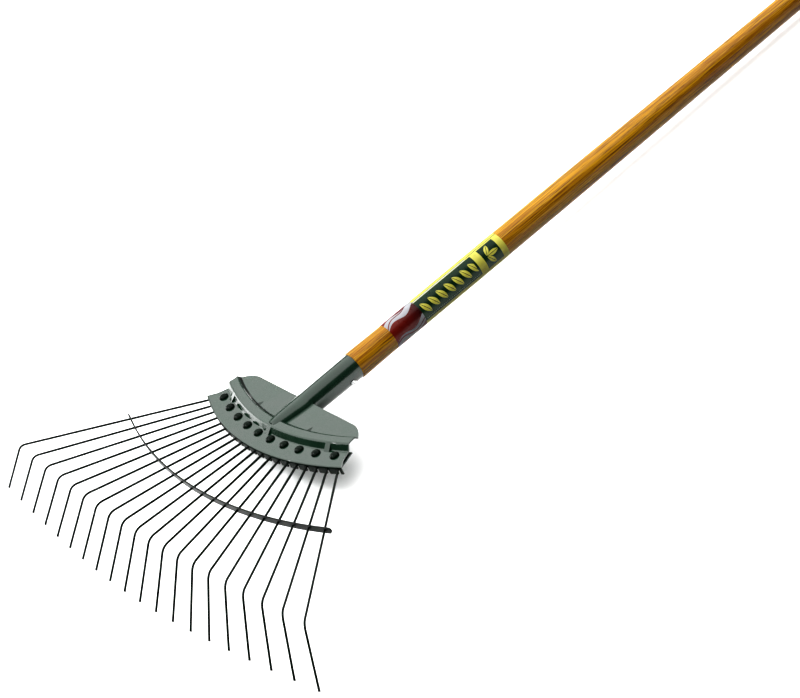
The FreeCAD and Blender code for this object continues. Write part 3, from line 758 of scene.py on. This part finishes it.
pressing = {
    "edge": 0.22 * mm,
    "braceEdge": 0.15 * mm,
    "screwEdge": 0.12 * mm,
    "flatFrom": 60 * mm * mm,  # faces larger than this are shaded flat
    "lipFrom": 320.9 * mm,
    "lipTop": 2.3 * mm,
}


def softEdged(nodeName, edge):
    # a CAD piece with a painted, softly broken edge
    obj = mergedCopy(nodeName, 40)
    makeActive(obj)
    bpy.ops.object.mode_set(mode="EDIT")
    everything()
    bpy.ops.mesh.dissolve_limited(angle_limit=math.radians(0.5))
    bpy.ops.object.mode_set(mode="OBJECT")
    soft = obj.modifiers.new("softEdge", "BEVEL")
    soft.width = edge
    soft.segments = 2
    soft.limit_method = "ANGLE"
    soft.angle_limit = math.radians(40)
    applyAll(obj)
    smooth(obj, 32)
    for face in obj.data.polygons:
        face.use_smooth = face.area < pressing["flatFrom"]
    return obj


def shadeLip(head):
    # painted shade: faces of the turned-down lip get the darker, duller enamel
    head.data.materials.append(lipShadeEnamel)
    toHead = headMatrix.inverted()
    for face in head.data.polygons:
        middle = toHead @ face.center
        if middle.xy.length > pressing["lipFrom"] and middle.z < pressing["lipTop"]:
            face.material_index = 1


shadeLip(finishPiece(softEdged("head_plate", pressing["edge"]), "pressed_head", headEnamel,
                    "green_enamel", "head_plate"))
finishPiece(softEdged("back_plate", pressing["edge"]), "clamp_plate", greenEnamel,
            "green_enamel", "back_plate")
finishPiece(softEdged("brace_strip", pressing["braceEdge"]), "brace", bracePaint, "dark_strip", "brace_strip")
for nodeName in sorted(frame["nodes"]):
    if nodeName.startswith("tine_pair"):
        finishPiece(mergedCopy(nodeName, 60), "spring_" + nodeName[-2:], darkWire, "spring_wire", nodeName)
    elif nodeName.startswith("rivet"):
        finishPiece(mergedCopy(nodeName, 40), "domed_" + nodeName, rivetEnamel, "rivet_enamel", nodeName)
finishPiece(softEdged("socket_screw", pressing["screwEdge"]), "zinc_screw", brightZinc,
            "zinc", "socket_screw")
print("head assembled")


studio = {
    "lens": 136.14,
    "eye": (2.3712, -1.2461, 1.5261),
    "azimuth": -70.30,
    "elevation": 30.97,
    "roll": 30.38,
    "clip": (0.05, 60),
    "floorHalf": 14,
    "floorDrop": 0.4 * mm,
    "floorColour": (0.86, 0.86, 0.86),
    "sky": 0.1,
    "contrast": "High Contrast",
    # direction from the target, distance, size, power and target of each lamp
    "lamps": {
        "overhead": ((0, 0, 1), 2.6, 7.2, 255, (-2.1, 0, 0)),
        "key": ((-0.28, -0.5, 0.82), 2.4, 0.3, 9, (0, -0.2, 0.03)),
        "leftPanel": ((-0.93, -0.33, 0.17), 2.6, 1.1, 12, (0, -0.5, 0.03)),
        "fill": ((0.5, -0.2, 0.84), 3.2, 4.0, 130, (0.2, -0.1, 0)),
    },
}


def makeFloor():
    selectNone()
    bpy.ops.mesh.primitive_plane_add(size=2 * studio["floorHalf"], location=(0, 0, -studio["floorDrop"]))
    floor = bpy.context.object
    floor.name = "floor"
    material, tree, shader = newMaterial("paleFloor")
    pale = studio["floorColour"]
    tone = noise(tree, objectPlace(tree), 3, detail=2)
    drive(tree, shader, "Base Color", ramp(tree, tone, [(0.3, tuple(c * 0.985 for c in pale)), (0.7, pale)]))
    setSockets(shader, {"Roughness": 0.9, "Specular IOR Level": 0.1})
    floor.data.materials.append(material)
    floor.visible_diffuse = False  # the floor shows and mirrors, but casts no light upwards
    return floor


def addLamp(name, direction, distance, size, power, target):
    light = bpy.data.lights.new(name, "AREA")
    light.shape = "SQUARE"
    light.size = size
    light.energy = power
    lamp = bpy.data.objects.new(name, light)
    bpy.context.scene.collection.objects.link(lamp)
    away = Vector(direction).normalized()
    lamp.location = Vector(target) + away * distance
    lamp.rotation_mode = "QUATERNION"
    lamp.rotation_quaternion = away.to_track_quat("Z", "Y")
    return lamp


def makeLamps(floor):
    lamps = {name: addLamp(name, *settings) for name, settings in studio["lamps"].items()}
    # the fill reaches the floor only, against its shadows
    lamps["fill"].visible_glossy = False
    lit = bpy.data.collections.new("litByFill")
    lit.objects.link(floor)
    lamps["fill"].light_linking.receiver_collection = lit


def makeCamera():
    data = bpy.data.cameras.new("camera")
    data.lens = studio["lens"]
    data.sensor_width = 36
    data.clip_start, data.clip_end = studio["clip"]
    camera = bpy.data.objects.new("camera", data)
    bpy.context.scene.collection.objects.link(camera)
    azimuth = math.radians(studio["azimuth"])
    elevation = math.radians(studio["elevation"])
    look = Vector((math.sin(azimuth) * math.cos(elevation), math.cos(azimuth) * math.cos(elevation),
                   -math.sin(elevation)))
    level = look.to_track_quat("-Z", "Y").to_matrix().to_4x4()
    camera.matrix_world = (Matrix.Translation(Vector(studio["eye"])) @ level
                           @ Matrix.Rotation(math.radians(-studio["roll"]), 4, "Z"))
    bpy.context.scene.camera = camera


def makeWorld():
    world = bpy.data.worlds.new("studio")
    world.use_nodes = True
    setSockets(world.node_tree.nodes["Background"], {"Color": (1, 1, 1, 1), "Strength": studio["sky"]})
    bpy.context.scene.world = world
    bpy.context.scene.view_settings.view_transform = "Standard"
    bpy.context.scene.view_settings.look = studio["contrast"]


makeLamps(makeFloor())
makeWorld()
makeCamera()
print("studio made")
